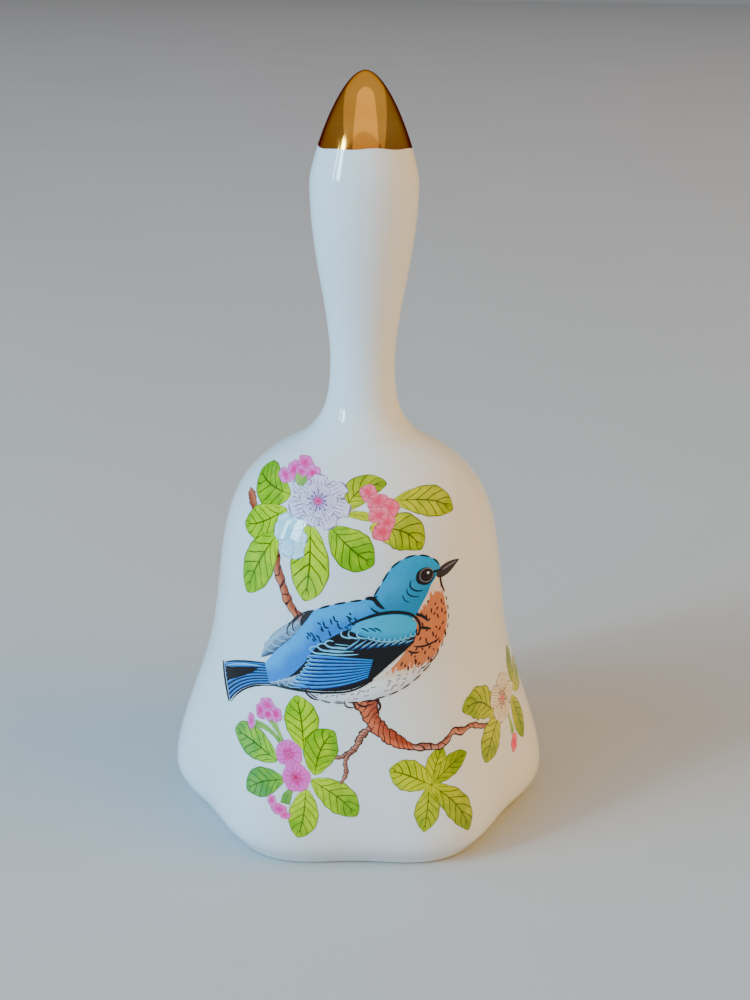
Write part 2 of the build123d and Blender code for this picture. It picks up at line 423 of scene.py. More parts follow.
def glazed_body():
    """The fluted body: up the outside, across the crown, down the bore and the inside, and round the lip."""
    outside = joined(body_curves, 36)
    inside = inset(joined(body_curves, 24), wall)
    below = inside[0] + (inside[0] - inside[1]) / (inside[1] - inside[0])[1] * inside[0][1]
    inside = inside[inside[:, 1] < crown_height]
    outer_lip = along(rim, lip_slope, lip_round)
    inner_lip = below + (inside[0] - below) * lip_round / inside[0][1]
    foot_in, foot_out = below[0] + lip_round, rim[0] - lip_round
    section = np.concatenate(
        [
            outside[outside[:, 1] > outer_lip[1]],
            [(bore_radius, foot_height), (bore_radius, crown_height)],
            np.linspace((bore_radius, crown_height), (inside[-1][0], crown_height), 8)[1:],
            inside[::-1],
            lip_corner(inner_lip, below, (foot_in, 0)),
            lip_corner((foot_out, 0), rim, outer_lip),
        ]
    )
    piece = turned("glazed_body", *fluted(section, 48 * flute_count), closed=True)
    keep(piece, "bell", glaze, "white_glaze", "bell_body")


def glazed_handle():
    """The hollow handle. Its dome is drawn in a hair above the swell, so that the gold lies over it."""
    outside = joined(handle_curves, 40)
    under_gold = np.clip((outside[:, 1:] - swell[1]) / (gold_line_height - 3 - swell[1]), 0, 1)
    outside += (inset(outside, 1) - outside) * gold_bed * under_gold
    outside[-1] = (0, overall_height - gold_bed)
    dome = bezier(drawn_in(handle_curves[2], wall), 24)
    hollow = np.concatenate([inset(bezier(handle_curves[1], 24), wall)[:-1], dome])
    section = np.concatenate([hollow[::-1], [(bore_radius, foot_height)], outside])
    piece = turned("glazed_handle", *fluted(section, 144), closed=False)
    keep(piece, "bell", glaze, "white_glaze", "handle")


def gold_edge(angle):
    """Height of the gold's painted edge round the tip: higher in front, with a hand's small unevenness."""
    wave = 0.2 * np.cos(angle) + 0.18 * np.sin(3 * angle + 1) + 0.1 * np.sin(7 * angle)
    return gold_line_height + 0.1 + wave


def gold_dome():
    """The gilding: the tip's own outline from the painted edge up, closed by its back inside the glaze."""
    dome = bezier(handle_curves[-1], 400)
    back = bezier(drawn_in(handle_curves[-1], gold_thickness), 400)
    steps = np.linspace(0, 1, 400)
    start = np.interp(gold_edge(ring_angles(192)), dome[:, 1], steps)
    t = start + (1 - start) * np.linspace(0, 1, 48)[:, None]
    radius, height = (
        np.concatenate([np.interp(t, steps, back[:, i])[::-1], np.interp(t, steps, dome[:, i])])
        for i in (0, 1)
    )
    piece = turned("gold_dome", radius, height, closed=False, sharp_degrees=40)
    keep(piece, "bell", gold, "gilding", "gold_tip")


glazed_body()
glazed_handle()
gold_dome()
hanger = ("hanger_bush", "swivel_eye", "eye_washer", "clapper_wire", "crimp_sleeve")
for node in (*hanger, "washer_above_ball", "washer_below_ball"):
    dress(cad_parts[node], brass)
dress(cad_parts["clapper_ball"], glaze)
dress(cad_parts["neck_plug"], casting_plaster())


# ---- painting on the wall ----
PAINT_BED = 0.015
PAINT_STEP = 0.012
PAINT_ROOT = -0.05
GOLDEN_SHARE = 0.381966


def on_wall(x, y, lift):
    """Places chart points on the fluted wall, lift above it.

    The profile point at length y turns by x over its radius; its radius is less by the flute's wave.
    """
    radius = np.interp(y, outline_length, outline[:, 0])
    height = np.interp(y, outline_length, outline[:, 1])
    angle = x / radius
    r = radius - flute_wave(height) * np.cos(flute_count * angle)
    reach = 0.05
    run = np.interp(y + reach, outline_length, outline[:, 0]) - radius
    rise = np.interp(y + reach, outline_length, outline[:, 1]) - height
    size = np.hypot(run, rise)
    out, up = rise / size, -run / size
    r = r + lift * out
    return np.stack([r * np.sin(angle), -r * np.cos(angle), height + lift * up], -1)


def smooth_curve(points, count=24):
    """A curve through given points: cubic Hermite pieces over chord length, central slopes."""
    p = np.array(points, float)
    t = np.concatenate([[0], np.cumsum(np.hypot(*np.diff(p, axis=0).T))])
    slope = np.gradient(p, t, axis=0, edge_order=2 if len(p) > 2 else 1)
    at = np.linspace(0, t[-1], count)
    i = np.clip(np.searchsorted(t, at, side="right") - 1, 0, len(p) - 2)
    h = (t[i + 1] - t[i])[:, None]
    s = ((at - t[i]) / h[:, 0])[:, None]
    return (
        (1 + 2 * s) * (1 - s) ** 2 * p[i]
        + s * (1 - s) ** 2 * h * slope[i]
        + s * s * (3 - 2 * s) * p[i + 1]
        + s * s * (s - 1) * h * slope[i + 1]
    )


def swept(middle, half_widths, across=7):
    """A shape along a middle line, reaching out on each side of it by the half widths, square to it.

    Half widths may be one for each point of the line, or one more axis of them from edge to edge.
    """
    step = np.gradient(middle, axis=0)
    step /= np.hypot(step[:, 0], step[:, 1])[:, None]
    side = np.stack([-step[:, 1], step[:, 0]], 1)
    half = np.asarray(half_widths, float)
    v = np.linspace(-1, 1, half.shape[1] if half.ndim == 2 else across)
    reach = (half if half.ndim == 2 else half[:, None]) * v
    return middle[:, None, :] + side[:, None, :] * reach[..., None]


def blade(base, end, width, bend=0.0, widest=0.56, bluntness=0.52, ripple=0.02):
    """A leaf or petal: half width = width/2 sin(pi u^a)^(bluntness + 0.15u), widest at a share of its length.

    Its middle line bows sideways by bend half way along, and a wave of size ripple runs round its edge.
    """
    u = np.linspace(0.004, 0.996, 40)
    base, end = np.array(base, float), np.array(end, float)
    run = end - base
    side = np.array([-run[1], run[0]]) / np.hypot(*run)
    middle = base + u[:, None] * run + (4 * bend * u**1.3 * (1 - u))[:, None] * side
    half = width / 2 * np.sin(np.pi * u ** (np.log(0.5) / np.log(widest))) ** (bluntness + 0.15 * u)
    v = np.linspace(-1, 1, 11)[None, :]
    wave = np.sin(2 * np.pi * (4.3 * u[:, None] + 0.4 * np.sign(v) + base[0])) * np.abs(v) ** 3
    return swept(middle, half[:, None] * (1 + ripple * wave))


def between(first, second, count=30, across=9):
    """A patch ruled between two smooth curves: (1 - v) first(u) + v second(u)."""
    v = np.linspace(0, 1, across)[None, :, None]
    a, b = smooth_curve(first, count)[:, None, :], smooth_curve(second, count)[:, None, :]
    return (1 - v) * a + v * b


def stroke(points, width=0.3, start=0.3, finish=0.15):
    """A brush line: swells from its start share of the width to full, and thins again to its finish share."""
    count = 6 * len(points)
    u = np.linspace(0, 1, count)
    share = start + (1 - start) * np.sin(np.pi * np.clip(u * 1.6, 0, 0.5))
    share *= finish + (1 - finish) * np.sqrt(np.clip((1 - u) * 2.5, 0, 1))
    return swept(smooth_curve(points, count), share * width / 2, 3)


def twig(points, widths, knots=0.12, count=70):
    """A twig: its width goes through the widths given along it, with knots, two sine waves of it."""
    u = np.linspace(0, 1, count)
    width = np.interp(u * (len(widths) - 1), np.arange(len(widths)), widths)
    wave = np.sin(2 * np.pi * 5.3 * u + widths[0]) + 0.7 * np.sin(2 * np.pi * 11.7 * u + points[0][0])
    return swept(smooth_curve(points, count), width / 2 * (1 + knots * wave))


def dab(centre, rx, ry=None, turn=0.0, lobes=5, ripple=0.07):
    """An oval dab with a lobed edge: v goes from its middle to its edge, u goes round it."""
    u = np.linspace(0, 2 * np.pi, 36)[:, None]
    v = np.linspace(0.02, 1, 6)[None, :]
    size = v * (1 + ripple * v**2 * np.cos(lobes * u + centre[0]))
    x, y = rx * size * np.cos(u), (ry or rx) * size * np.sin(u)
    c, s = np.cos(np.radians(turn)), np.sin(np.radians(turn))
    return np.stack([centre[0] + c * x - s * y, centre[1] + s * x + c * y], -1)


def flower(centre, petals, **shape):
    """Petals round a centre, each given by its direction in degrees, its length and its width."""
    made = []
    for degrees, length, width in petals:
        a = np.radians(degrees)
        end = (centre[0] + length * np.cos(a), centre[1] + length * np.sin(a))
        made.append(blade(centre, end, width, widest=0.68, bluntness=0.25, **shape))
    return made


def stamens(centre, reach, count):
    """Threads round a flower's heart, of uneven length, each with a dab at its end."""
    made = []
    for k in range(count):
        a, length = 2 * np.pi * (k + 0.3) / count, reach * (0.6 + 0.4 * ((k * 0.618) % 1))
        end = (centre[0] + length * np.cos(a), centre[1] + length * np.sin(a))
        made += [stroke([centre, end], 0.15, 0.8, 0.8), dab(end, 0.2)]
    return made


def ticks(patch, count, run, width, start=0.1):
    """Short strokes scattered over a patch: their places step through it by two plastic-number shares."""
    k = np.arange(count)
    i = ((start + 0.754878 * k) % 1 * 0.9 + 0.05) * (patch.shape[0] - 1)
    j = ((start + 0.569840 * k) % 1 * 0.84 + 0.08) * (patch.shape[1] - 1)
    size = 0.6 + 0.8 * (0.37 * k % 1)
    turn = 0.5 * np.sin(2.4 * k)
    along_it = np.stack([run[0] - turn * run[1], run[1] + turn * run[0]], 1) * size[:, None]
    start_at = patch[i.astype(int), j.astype(int)]
    return [stroke([p, p + d], width, 0.6, 0.2) for p, d in zip(start_at, along_it)]


def dashes(points, count, width, filled=0.6):
    """A line broken into dashes: each fills the given share of its part of the curve."""
    line = smooth_curve(points, 12 * count + 1)
    length = int(round(12 * filled))
    return [stroke(line[12 * k : 12 * k + length + 1 : max(1, length // 3)], width) for k in range(count)]


def paint(name, finish, level, shapes, tones=None):
    """Lays painted shapes on the wall as one thin piece, each a hair above the one before it.

    Each shape is a closed skin: its face just above the glaze, its back just inside it. The brush map
    goes along the stroke and across it, and tone is a number from 0 to 1 kept for each shape.
    """
    points, faces, brush, tone = [], [], [], []
    total = 0
    for k, shape in enumerate(shapes):
        rows, columns = shape.shape[:2]
        lift = PAINT_BED + PAINT_STEP * (level - 1 + 0.8 * k / len(shapes))
        count = rows * columns
        for height in (lift, PAINT_ROOT):
            points.append(on_wall(shape[..., 0], shape[..., 1], height).reshape(-1, 3))
        index = np.arange(count).reshape(rows, columns)
        square = np.stack([index[:-1, :-1], index[1:, :-1], index[1:, 1:], index[:-1, 1:]], -1)
        face = square.reshape(-1, 4)
        edge = np.concatenate([index[:, 0], index[-1, 1:], index[-2::-1, -1], index[0, -2:0:-1]])
        onward = np.roll(edge, -1)
        side = np.stack([onward, edge, edge + count, onward + count], -1)
        faces.append(np.concatenate([face, face[:, ::-1] + count, side]) + total)
        u, v = np.meshgrid(np.linspace(0, 1, rows), np.linspace(0, 1, columns), indexing="ij")
        brush += [np.stack([u, v], -1).reshape(-1, 2)] * 2
        tone.append(np.full(2 * count, tones[k % len(tones)] if tones else (k * GOLDEN_SHARE) % 1))
        total += 2 * count
    piece = closed_mesh(name, np.concatenate(points), faces, np.concatenate(brush), np.concatenate(tone))
    piece.data.set_sharp_from_angle(angle=np.radians(50))
    keep(piece, "bell", finish, "white_glaze")


# ---- paints: colours fired on the glaze, drawn along and across each stroke ----
class Paint(Finish):
    """The start of every paint: fired gloss, the brush map's u and v, distance aside, tone and stipple."""

    def __init__(self, name):
        super().__init__(name, Coat_Weight=0.75, Coat_Roughness=0.05, Specular_IOR_Level=0)
        self.put("Roughness", self.glossed(0.3, 0.22)["Roughness"])
        brush = self.node("ShaderNodeUVMap", uv_map="brush").outputs[0]
        self.u, self.v = self.part(brush, 0), self.part(brush, 1)
        self.aside = self.math("ABSOLUTE", self.math("MULTIPLY_ADD", self.v, 2, -1))
        self.tone = self.node("ShaderNodeAttribute", attribute_name="tone").outputs["Fac"]
        self.stipple = self.noise(self.place, 2400, 3, 0.6)

    def times(self, *factors):
        product = factors[0]
        for factor in factors[1:]:
            product = self.math("MULTIPLY", product, factor)
        return product

    def most(self, *masks):
        largest = masks[0]
        for mask in masks[1:]:
            largest = self.math("MAXIMUM", largest, mask)
        return largest

    def wavered(self, value, wash, size):
        """The value plus size times how far the wash is from its middle."""
        return self.math("MULTIPLY_ADD", self.math("SUBTRACT", wash, 0.5), size, value)

    def lines(self, phase, width):
        """Fine lines where the phase passes a whole number: a triangle wave, cut near its peak."""
        wave = self.math("ABSOLUTE", self.math("SUBTRACT", self.math("FRACT", phase), 0.5))
        return self.step(wave, 0.5 - width, 0.5 - 0.4 * width)

    def finished(self, drawn, fill, line):
        """The paint with its drawn lines laid over its fill."""
        self.put("Base Color", self.mix(drawn, fill, line))
        return self.made


def leaf_paint(name, pale, deep, vein, pairs=6):
    """Leaf: yellow-green washed into deep green, a drawn midrib, slanting side veins and a dark edge."""
    p = Paint(name)
    wash = p.noise(p.place, 330, 3, 0.55)
    drift = p.math("MULTIPLY_ADD", p.u, 0.5, p.times(p.tone, 0.7))
    fill = p.mix(p.step(p.wavered(drift, wash, 1.5), 0.1, 1.1), pale, deep)
    fill = p.mix(p.step(p.stipple, 0.45, 0.7, 0, 0.3), fill, deep)
    slant = p.math("SUBTRACT", p.wavered(p.u, wash, 0.10), p.times(p.aside, 0.26))
    side_veins = p.lines(p.times(slant, pairs), 0.10)
    side_veins = p.times(side_veins, p.step(p.aside, 0.8, 0.98, 1, 0), p.step(p.u, 0.06, 0.14))
    midrib = p.times(p.step(p.aside, 0.02, 0.07, 1, 0), p.step(p.u, 0.88, 0.97, 1, 0))
    edge = p.most(p.step(p.aside, 0.88, 0.97), p.step(p.u, 0.965, 0.99), p.step(p.u, 0.01, 0.03, 1, 0))
    veins = p.most(side_veins, midrib, p.times(edge, 0.75))
    drawn = p.times(veins, p.step(p.stipple, 0.2, 0.5, 0.7, 1))
    return p.finished(drawn, fill, vein)


def petal_paint(name, heart, skin, line, rays=7, strength=0.9):
    """Petal: a heart colour washed out to a pale skin, rays that fade outwards, and a drawn edge."""
    p = Paint(name)
    wash = p.noise(p.place, 420, 3, 0.55)
    fill = p.mix(p.step(p.wavered(p.u, wash, 0.35), 0.10, 0.60, 1, 0), skin, heart)
    fill = p.mix(p.step(p.stipple, 0.5, 0.75, 0, 0.25), fill, heart)
    rays_drawn = p.lines(p.wavered(p.times(p.v, rays), wash, 1.2), 0.14)
    shown = p.times(p.step(p.u, 0.70, 0.97, strength, 0), p.step(p.stipple, 0.3, 0.5))
    edge = p.times(p.most(p.step(p.aside, 0.86, 0.97), p.step(p.u, 0.93, 0.98)), strength)
    inner = p.lines(p.wavered(p.times(p.u, 3), wash, 1.6), 0.07)
    inner = p.times(inner, p.step(p.u, 0.3, 0.5), 0.25 * strength)
    return p.finished(p.most(p.times(rays_drawn, shown), edge, inner), fill, line)


def dab_paint(name, middle, skin, line):
    """A bud or petal seen full on: a deep middle washed outwards, mottled, with folds and a broken edge."""
    p = Paint(name)
    wash = p.noise(p.place, 700, 3, 0.6)
    out = p.step(p.wavered(p.v, wash, 1), 0.10, 0.85)
    fill = p.mix(p.times(p.tone, 0.4), p.mix(out, middle, skin), middle)
    fold = p.times(p.lines(p.wavered(p.times(p.u, 5), wash, 0.6), 0.07), p.step(p.v, 0.30, 0.55))
    edge = p.times(p.step(p.v, 0.84, 0.95), p.step(wash, 0.42, 0.55, 0.3, 1))
    return p.finished(p.times(p.most(fold, edge), 0.7), fill, line)


def bark_paint(name, light, deep, line, rings=12, rim=0.74):
    """Bark: a reddish wash, uneven dark rings that don't all cross it, and drawn edges."""
    p = Paint(name)
    wash = p.noise(p.place, 420, 4, 0.6)
    fill = p.mix(p.step(p.wavered(p.v, wash, 1.6), 0.2, 0.8), light, deep)
    slow = p.noise(p.place, 170, 2)
    phase = p.math("ADD", p.wavered(p.times(p.u, rings), slow, 5), p.times(p.v, 0.9))
    ring = p.times(p.lines(phase, 0.12), p.step(wash, 0.34, 0.44))
    return p.finished(p.most(ring, p.step(p.aside, rim, rim + 0.2)), fill, line)


def feather_paint(name, lit, deep, light=(0.2, 0.8)):
    """Soft plumage: light at one side, deeper to the other, in fine barbs along the stroke."""
    p = Paint(name)
    soft = p.noise(p.place, 130, 3, 0.5)
    fill = p.mix(p.step(p.wavered(p.v, soft, 0.9), *light), lit, deep)
    barbs = p.noise(p.stretched(p.place, (0.35, 1, 1)), 2600, 2)
    return p.finished(p.step(barbs, 0.52, 0.75, 0, 0.45), fill, deep)


def quill_paint(name, edge, vane, shadow, lit, dark):
    """One flight feather: a pale leading edge, a coloured vane and a dark trailing side."""
    p = Paint(name)
    barbs = p.noise(p.stretched(p.place, (0.3, 1, 1)), 2400, 2)
    fill = p.mix(p.step(p.wavered(p.v, barbs, 0.25), dark, dark + 0.12), vane, shadow)
    fill = p.mix(p.step(p.v, lit, lit + 0.08, 1, 0), fill, edge)
    return p.finished(p.step(p.v, 0.02, 0.07, 1, 0), fill, shadow)


def breast_paint():
    """Rust breast: warm stipple, broken up to pale down at the throat, the flank and the outer edge."""
    p = Paint("breast_rust")
    soft = p.noise(p.place, 260, 4, 0.65)
    down = p.noise(p.stretched(p.place, (1, 1, 0.4), (0, 0.5, 0)), 1900, 2)
    throat = p.times(p.step(p.v, 0.55, 0.95), p.step(p.u, 0.20, 0.42, 1, 0))
    ends = p.most(p.step(p.u, 0.06, 0.24, 1, 0), p.step(p.u, 0.70, 1), throat)
    pale = p.most(ends, p.times(p.step(p.v, 0, 0.14, 1, 0), 0.75))
    pale = p.step(p.wavered(p.wavered(pale, soft, 1), down, 1.6), 0.40, 0.75)
    rust = p.mix(soft, (200, 100, 46), (218, 136, 84))
    return p.finished(pale, rust, (236, 216, 198))


def belly_paint():
    """White belly: greyer towards its lower edge, flushed with rust where it meets the breast."""
    p = Paint("belly_white")
    down = p.noise(p.stretched(p.place, (0.5, 1, 1.2), (0, 0.5, 0)), 1500, 2)
    fill = p.mix(p.step(p.v, 0.3, 1), (238, 236, 234), (212, 210, 212))
    flush = p.times(p.step(p.u, 0.5, 0.05), p.step(down, 0.46, 0.60), p.step(p.v, 0.75, 0.3))
    return p.finished(flush, fill, (208, 128, 92))


def ink_paint(name, tint, thin):
    """Drawn line colour, nearly even, a little thinner where the brush ran dry."""
    p = Paint(name)
    return p.finished(p.step(p.stipple, 0.60, 0.85, 0, 0.4), tint, thin)


fresh_leaf = leaf_paint("fresh_leaf", (204, 228, 0), (112, 172, 0), (62, 96, 0))
# Painted light: this leaf paint is tinted bluer, a painted cool reflection of the light from the left.
cool_lit_leaf = leaf_paint("cool_lit_leaf", (176, 214, 40), (84, 156, 64), (36, 92, 24))
# Painted light: this leaf paint is tinted yellower, painted warm light from the right.
warm_lit_leaf = leaf_paint("warm_lit_leaf", (208, 212, 0), (130, 160, 0), (76, 84, 0))
stem_green = leaf_paint("stem_green", (160, 196, 92), (104, 156, 56), (70, 110, 40), 1)
lilac_petal = petal_paint("lilac_petal", (196, 150, 206), (234, 216, 236), (96, 56, 128), 5)
# Painted reflection: a white blossom's petals coloured pale cyan for a window's reflection on the glaze over
# them.
window_sheen_petal = petal_paint("window_sheen_petal", (170, 228, 244), (214, 248, 254), (58, 140, 170))
pink_petal = petal_paint("pink_petal", (240, 36, 140), (252, 104, 194), (206, 30, 126), 3, 0.6)
cream_petal = petal_paint("cream_petal", (226, 190, 166), (238, 228, 210), (118, 84, 66))
pink_bud = dab_paint("pink_bud", (244, 40, 140), (252, 128, 204), (206, 24, 112))
rose_bud = dab_paint("rose_bud", (240, 54, 96), (250, 124, 150), (196, 30, 70))
heart_pink = dab_paint("heart_pink", (214, 30, 104), (236, 96, 160), (160, 10, 70))
bark = bark_paint("bark", (214, 110, 72), (170, 70, 42), (52, 14, 10))
thin_bark = bark_paint("thin_bark", (206, 140, 118), (160, 92, 72), (48, 22, 18), 13, 0.56)
mantle_blue = feather_paint("mantle_blue", (0, 164, 232), (0, 120, 204))
head_blue = feather_paint("head_blue", (0, 160, 224), (0, 132, 186), (0.1, 0.8))
wing_turquoise = feather_paint("wing_turquoise", (0, 176, 222), (0, 130, 184), (0.55, 1))
tail_quill = quill_paint("tail_quill", (40, 160, 224), (0, 104, 186), (2, 10, 44), 0.14, 0.46)
wing_quill = quill_paint("wing_quill", (20, 156, 232), (0, 122, 214), (0, 18, 74), 0.16, 0.62)
covert_quill = quill_paint("covert_quill", (128, 204, 236), (6, 84, 150), (6, 10, 26), 0.22, 0.50)
grey_quill = quill_paint("grey_quill", (156, 178, 198), (112, 138, 164), (62, 78, 98), 0.30, 0.66)
night_ink = ink_paint("night_ink", (5, 7, 16), (14, 20, 34))
brown_ink = ink_paint("brown_ink", (56, 22, 20), (96, 48, 40))
violet_ink = ink_paint("violet_ink", (112, 70, 130), (150, 100, 160))
pale_line = ink_paint("pale_line", (112, 192, 226), (40, 140, 196))
grey_ink = ink_paint("grey_ink", (120, 112, 122), (160, 150, 156))
horn_ink = ink_paint("horn_ink", (48, 42, 46), (84, 76, 76))
light_ink = ink_paint("light_ink", (238, 244, 248), (210, 226, 236))
mist_line = ink_paint("mist_line", (150, 184, 206), (116, 150, 176))


def upper_spray():
    """Twig, leaves and blossom over the bird's head."""
    branch = [(-24, 70), (-20, 67.6), (-17.6, 64), (-16.9, 60.6), (-15.6, 57.6), (-14.2, 54.6), (-11, 51.6)]
    stub = [(-24.2, 70), (-25.8, 71.6), (-28.6, 72.6)]
    paint("upper_twig", bark, 1, [twig(branch, [1, 1.4, 2.1, 2, 1.8]), twig(stub, [1.6, 2.9, 1.2], 0.1, 24)])
    left = [
        blade((-14.6, 75.4), (-26.6, 77.4), 8.8, 0.5, bluntness=0.5),
        blade((-15.2, 72.4), (-27.4, 66.8), 6.6, 1, ripple=0.03),
        blade((-17.2, 67.4), (-25.2, 54), 8, -0.8),
    ]
    paint("upper_left_leaves", fresh_leaf, 3, left, [0.85, 0.35, 0.5])
    middle = [blade((-9.8, 70.6), (-10.9, 55.6), 8, 0.6), blade((-5.8, 70.4), (2.6, 63.6), 7.8, -0.6)]
    paint("upper_middle_leaves", fresh_leaf, 4, middle, [0.05, 0.75])
    right = [
        blade((-3.4, 73.6), (5, 79.4), 6, 2.4),
        blade((-3.6, 73.2), (3.4, 71.8), 1.8, 0.5),
        blade((1.6, 70.6), (12, 65.6), 7.2, 2.2, ripple=0.03),
        blade((6.2, 75.8), (20, 71.6), 6.2, 1.5),
    ]
    paint("upper_right_leaves", warm_lit_leaf, 2, right, [0.6, 0.2, 0.5, 0.3])
    lilac = (-8.4, 75.2)
    outer = [
        (88, 5.9, 4), (36, 6.7, 3.8), (-12, 6.6, 3.7), (-60, 5.9, 3.8), (-112, 5.4, 3.8), (-156, 6.9, 4),
        (148, 6.6, 4),
    ]
    inner = [
        (64, 3.8, 2.4), (8, 4, 2.4), (-38, 3.9, 2.3), (-88, 3.4, 2.3), (-136, 3.9, 2.4), (178, 4, 2.4),
        (120, 3.8, 2.4),
    ]
    blossom = flower(lilac, outer, ripple=0.16) + flower(lilac, inner, ripple=0.12)
    paint("lilac_blossom", lilac_petal, 6, blossom)
    paint("lilac_stamens", violet_ink, 7, stamens(lilac, 2.4, 13))
    paint("lilac_heart", heart_pink, 8, [dab(lilac, 0.95, 0.8)])
    # This blossom is white, coloured pale cyan as a painted window reflection.
    petals = [
        (122, 4, 3.6), (58, 3.8, 3.4), (-12, 3.8, 3.4), (-62, 4.8, 3.4), (-104, 4.4, 3.2), (178, 3.8, 3.4)
    ]
    paint("window_sheen_blossom", window_sheen_petal, 5, flower((-14.2, 67.9), petals, ripple=0.12))
    buds = [
        (-16.8, 78.9, 2.2, 1.6), (-14.6, 80.6, 2, 2.2), (-12, 82.9, 2.2, 1.9), (-9.8, 81, 1.8, 2),
        (-12.6, 80.6, 1.6, 1.5),
    ]
    paint("upper_pink_buds", pink_bud, 5, [dab((x, y), rx, ry) for x, y, rx, ry in buds])
    sepals = [blade((-12.6, 77.6), (-13.4, 80.2), 1.9), blade((-12.2, 77.6), (-11.4, 80), 1.3)]
    paint("bud_sepals", stem_green, 7, sepals)
    cluster = [
        (1.4, 77.6, 1.7, 1.9), (3.2, 75.6, 2.2, 1.8), (5.6, 74.2, 1.8, 2), (3.4, 73, 2.1, 1.7),
        (5, 71.4, 1.6, 1.7), (4, 69.6, 1.9, 1.7),
    ]
    paint("rose_cluster", rose_bud, 4, [dab((x, y), rx, ry, lobes=4) for x, y, rx, ry in cluster])


def bird():
    """A small blue perching bird, side on, with a rust breast."""
    far_top = [(-9, 54.2), (-13.2, 51.4), (-18.4, 47), (-20.9, 42.5)]
    far_low = [(-9.4, 51), (-12.2, 48.2), (-16, 44.8), (-20.7, 42.2)]
    paint("far_wing", grey_quill, 1, [between(far_top, far_low)])
    rows = [(-18.9, 44.6), (-17.6, 45.9), (-16.2, 47.2), (-14.8, 48.4), (-13.5, 49.6)]
    hooks = [
        stroke([(x - 0.7, y + 1.3), (x - 1.1, y + 0.2), (x + 0.2, y - 0.5), (x + 1.5, y - 0.2)], 0.3)
        for x, y in rows
    ]
    paint("far_wing_edges", mist_line, 2, hooks)
    root = [
        blade((-8.9, 54.1), (-11.6, 50.6), 1.7, -0.2, ripple=0.04),
        stroke([(-9.6, 54), (-12.2, 52.2), (-13.4, 50.2), (-12.8, 49)], 0.34),
        stroke([(-11.2, 53.2), (-13.6, 51), (-14.6, 49), (-14, 47.8)], 0.30),
    ]
    paint("far_wing_root", horn_ink, 3, root)

    def feather_edge(a):
        """One long edge of the fan of tail feathers, a from 0 at its top to 1 at its foot."""
        return [(-17.4, 41.6 - 4 * a), (-25, 40 - 5 * a), (-33.2 + 3.2 * a, 36.9 - 6.2 * a)]

    tail = [between(feather_edge(k / 8), feather_edge((k + 1.05) / 8), 20, 7) for k in range(8)]
    paint("tail_feathers", tail_quill, 1, tail)
    shade = between(
        [(-21.5, 40), (-27, 38.4), (-32.4, 36.4)], [(-22, 39.2), (-27.2, 36.2), (-31.4, 34.2)], 16
    )
    outline_strokes = [
        stroke([(-33.8, 37.2), (-32.4, 34), (-30.3, 30.4)], 0.8, 0.6, 0.6),
        stroke(feather_edge(-0.02)[::-1], 0.35),
        stroke(feather_edge(1.06)[::-1], 0.35),
    ]
    paint("tail_shade", night_ink, 2, [shade] + outline_strokes)
    paint("tail_lights", pale_line, 3, [stroke([(-32.6, 36.5), (-27, 38.9), (-20.4, 40.5)], 0.28)])

    back = [
        (3.4, 57.4), (1.2, 56.9), (-2.2, 56.3), (-5.4, 55.5), (-8.6, 54.2), (-10.6, 51.6), (-13.4, 48),
        (-17.2, 44.4), (-19.8, 41.2),
    ]
    flank = [
        (10.8, 53), (5, 50.2), (0, 49.4), (-3.4, 48.9), (-6.6, 47.6), (-9.4, 44.8), (-12, 41.8),
        (-15, 39.4), (-18.6, 37.6),
    ]
    mantle = between(back, flank, 60, 15)
    paint("blue_mantle", mantle_blue, 4, [mantle])
    crown_line = [
        (0.4, 56.6), (2.6, 57.4), (4.2, 60.2), (6.4, 63.2), (9.4, 64.6), (12.6, 64.4), (15.2, 63),
        (16.4, 61.2),
    ]
    cheek = [
        (3.4, 53.4), (7.4, 52.8), (10.4, 52.8), (12, 54.2), (13.2, 56.4), (14, 58.4), (15.2, 59.8),
        (16.2, 60.6),
    ]
    paint("blue_head", head_blue, 5, [between(crown_line, cheek, 44, 15)])
    paint("mantle_ticks", night_ink, 6, ticks(mantle[12:38, 3:12], 26, (0.7, -0.7), 0.3))
    broken_line = dashes(back[:5], 4, 0.36, 0.92) + dashes(crown_line[1:], 6, 0.3, 0.85)
    paint("back_outline", night_ink, 7, broken_line)

    front = [(16, 60.2), (16.9, 57.4), (17.9, 54.4), (18.3, 51.2), (17.6, 47.8), (15.6, 44.4), (11.4, 41.8)]
    chest = [(15.2, 60), (13.4, 57), (11.4, 53.6), (10.4, 50.6), (9.2, 46.6), (6.4, 43.2), (2, 40.4)]
    breast = between(front, chest, 48, 15)
    paint("rust_breast", breast_paint(), 6, [breast])
    under = [(16.6, 45.8), (11.6, 43.2), (5.6, 41.2), (0, 39.8), (-4, 38.8), (-9.8, 38.5)]
    belly_line = [(15.9, 44.8), (12.6, 41.4), (9, 39), (3.4, 37.1), (-2.1, 36.3), (-6.4, 36.2), (-10.4, 37.9)]
    belly_patch = between(under, belly_line, 44, 11)
    paint("white_belly", belly_paint(), 5, [belly_patch])
    paint("breast_ticks", brown_ink, 8, ticks(breast[9:42], 44, (-0.15, -0.7), 0.32))
    paint("belly_ticks", grey_ink, 6, ticks(belly_patch, 40, (0.8, 0.5), 0.2, 0.3))
    edge_strokes = dashes(belly_line, 11, 0.26, 0.72) + dashes(front[1:], 10, 0.22, 0.6)
    edge_strokes += [stroke([(16.2, 60.4), (16.3, 58.8), (17.3, 56.6)], 0.45)]
    edge_strokes += [stroke([(-9.7, 38.6), (-10.5, 37.8), (-9.6, 36.8), (-7.6, 36.4)], 0.36)]
    edge_strokes += [stroke([(-2.8, 36.6), (-2.6, 35.7), (-1.6, 35.3), (-0.6, 35.8)], 0.26)]
    paint("breast_outline", brown_ink, 9, edge_strokes)


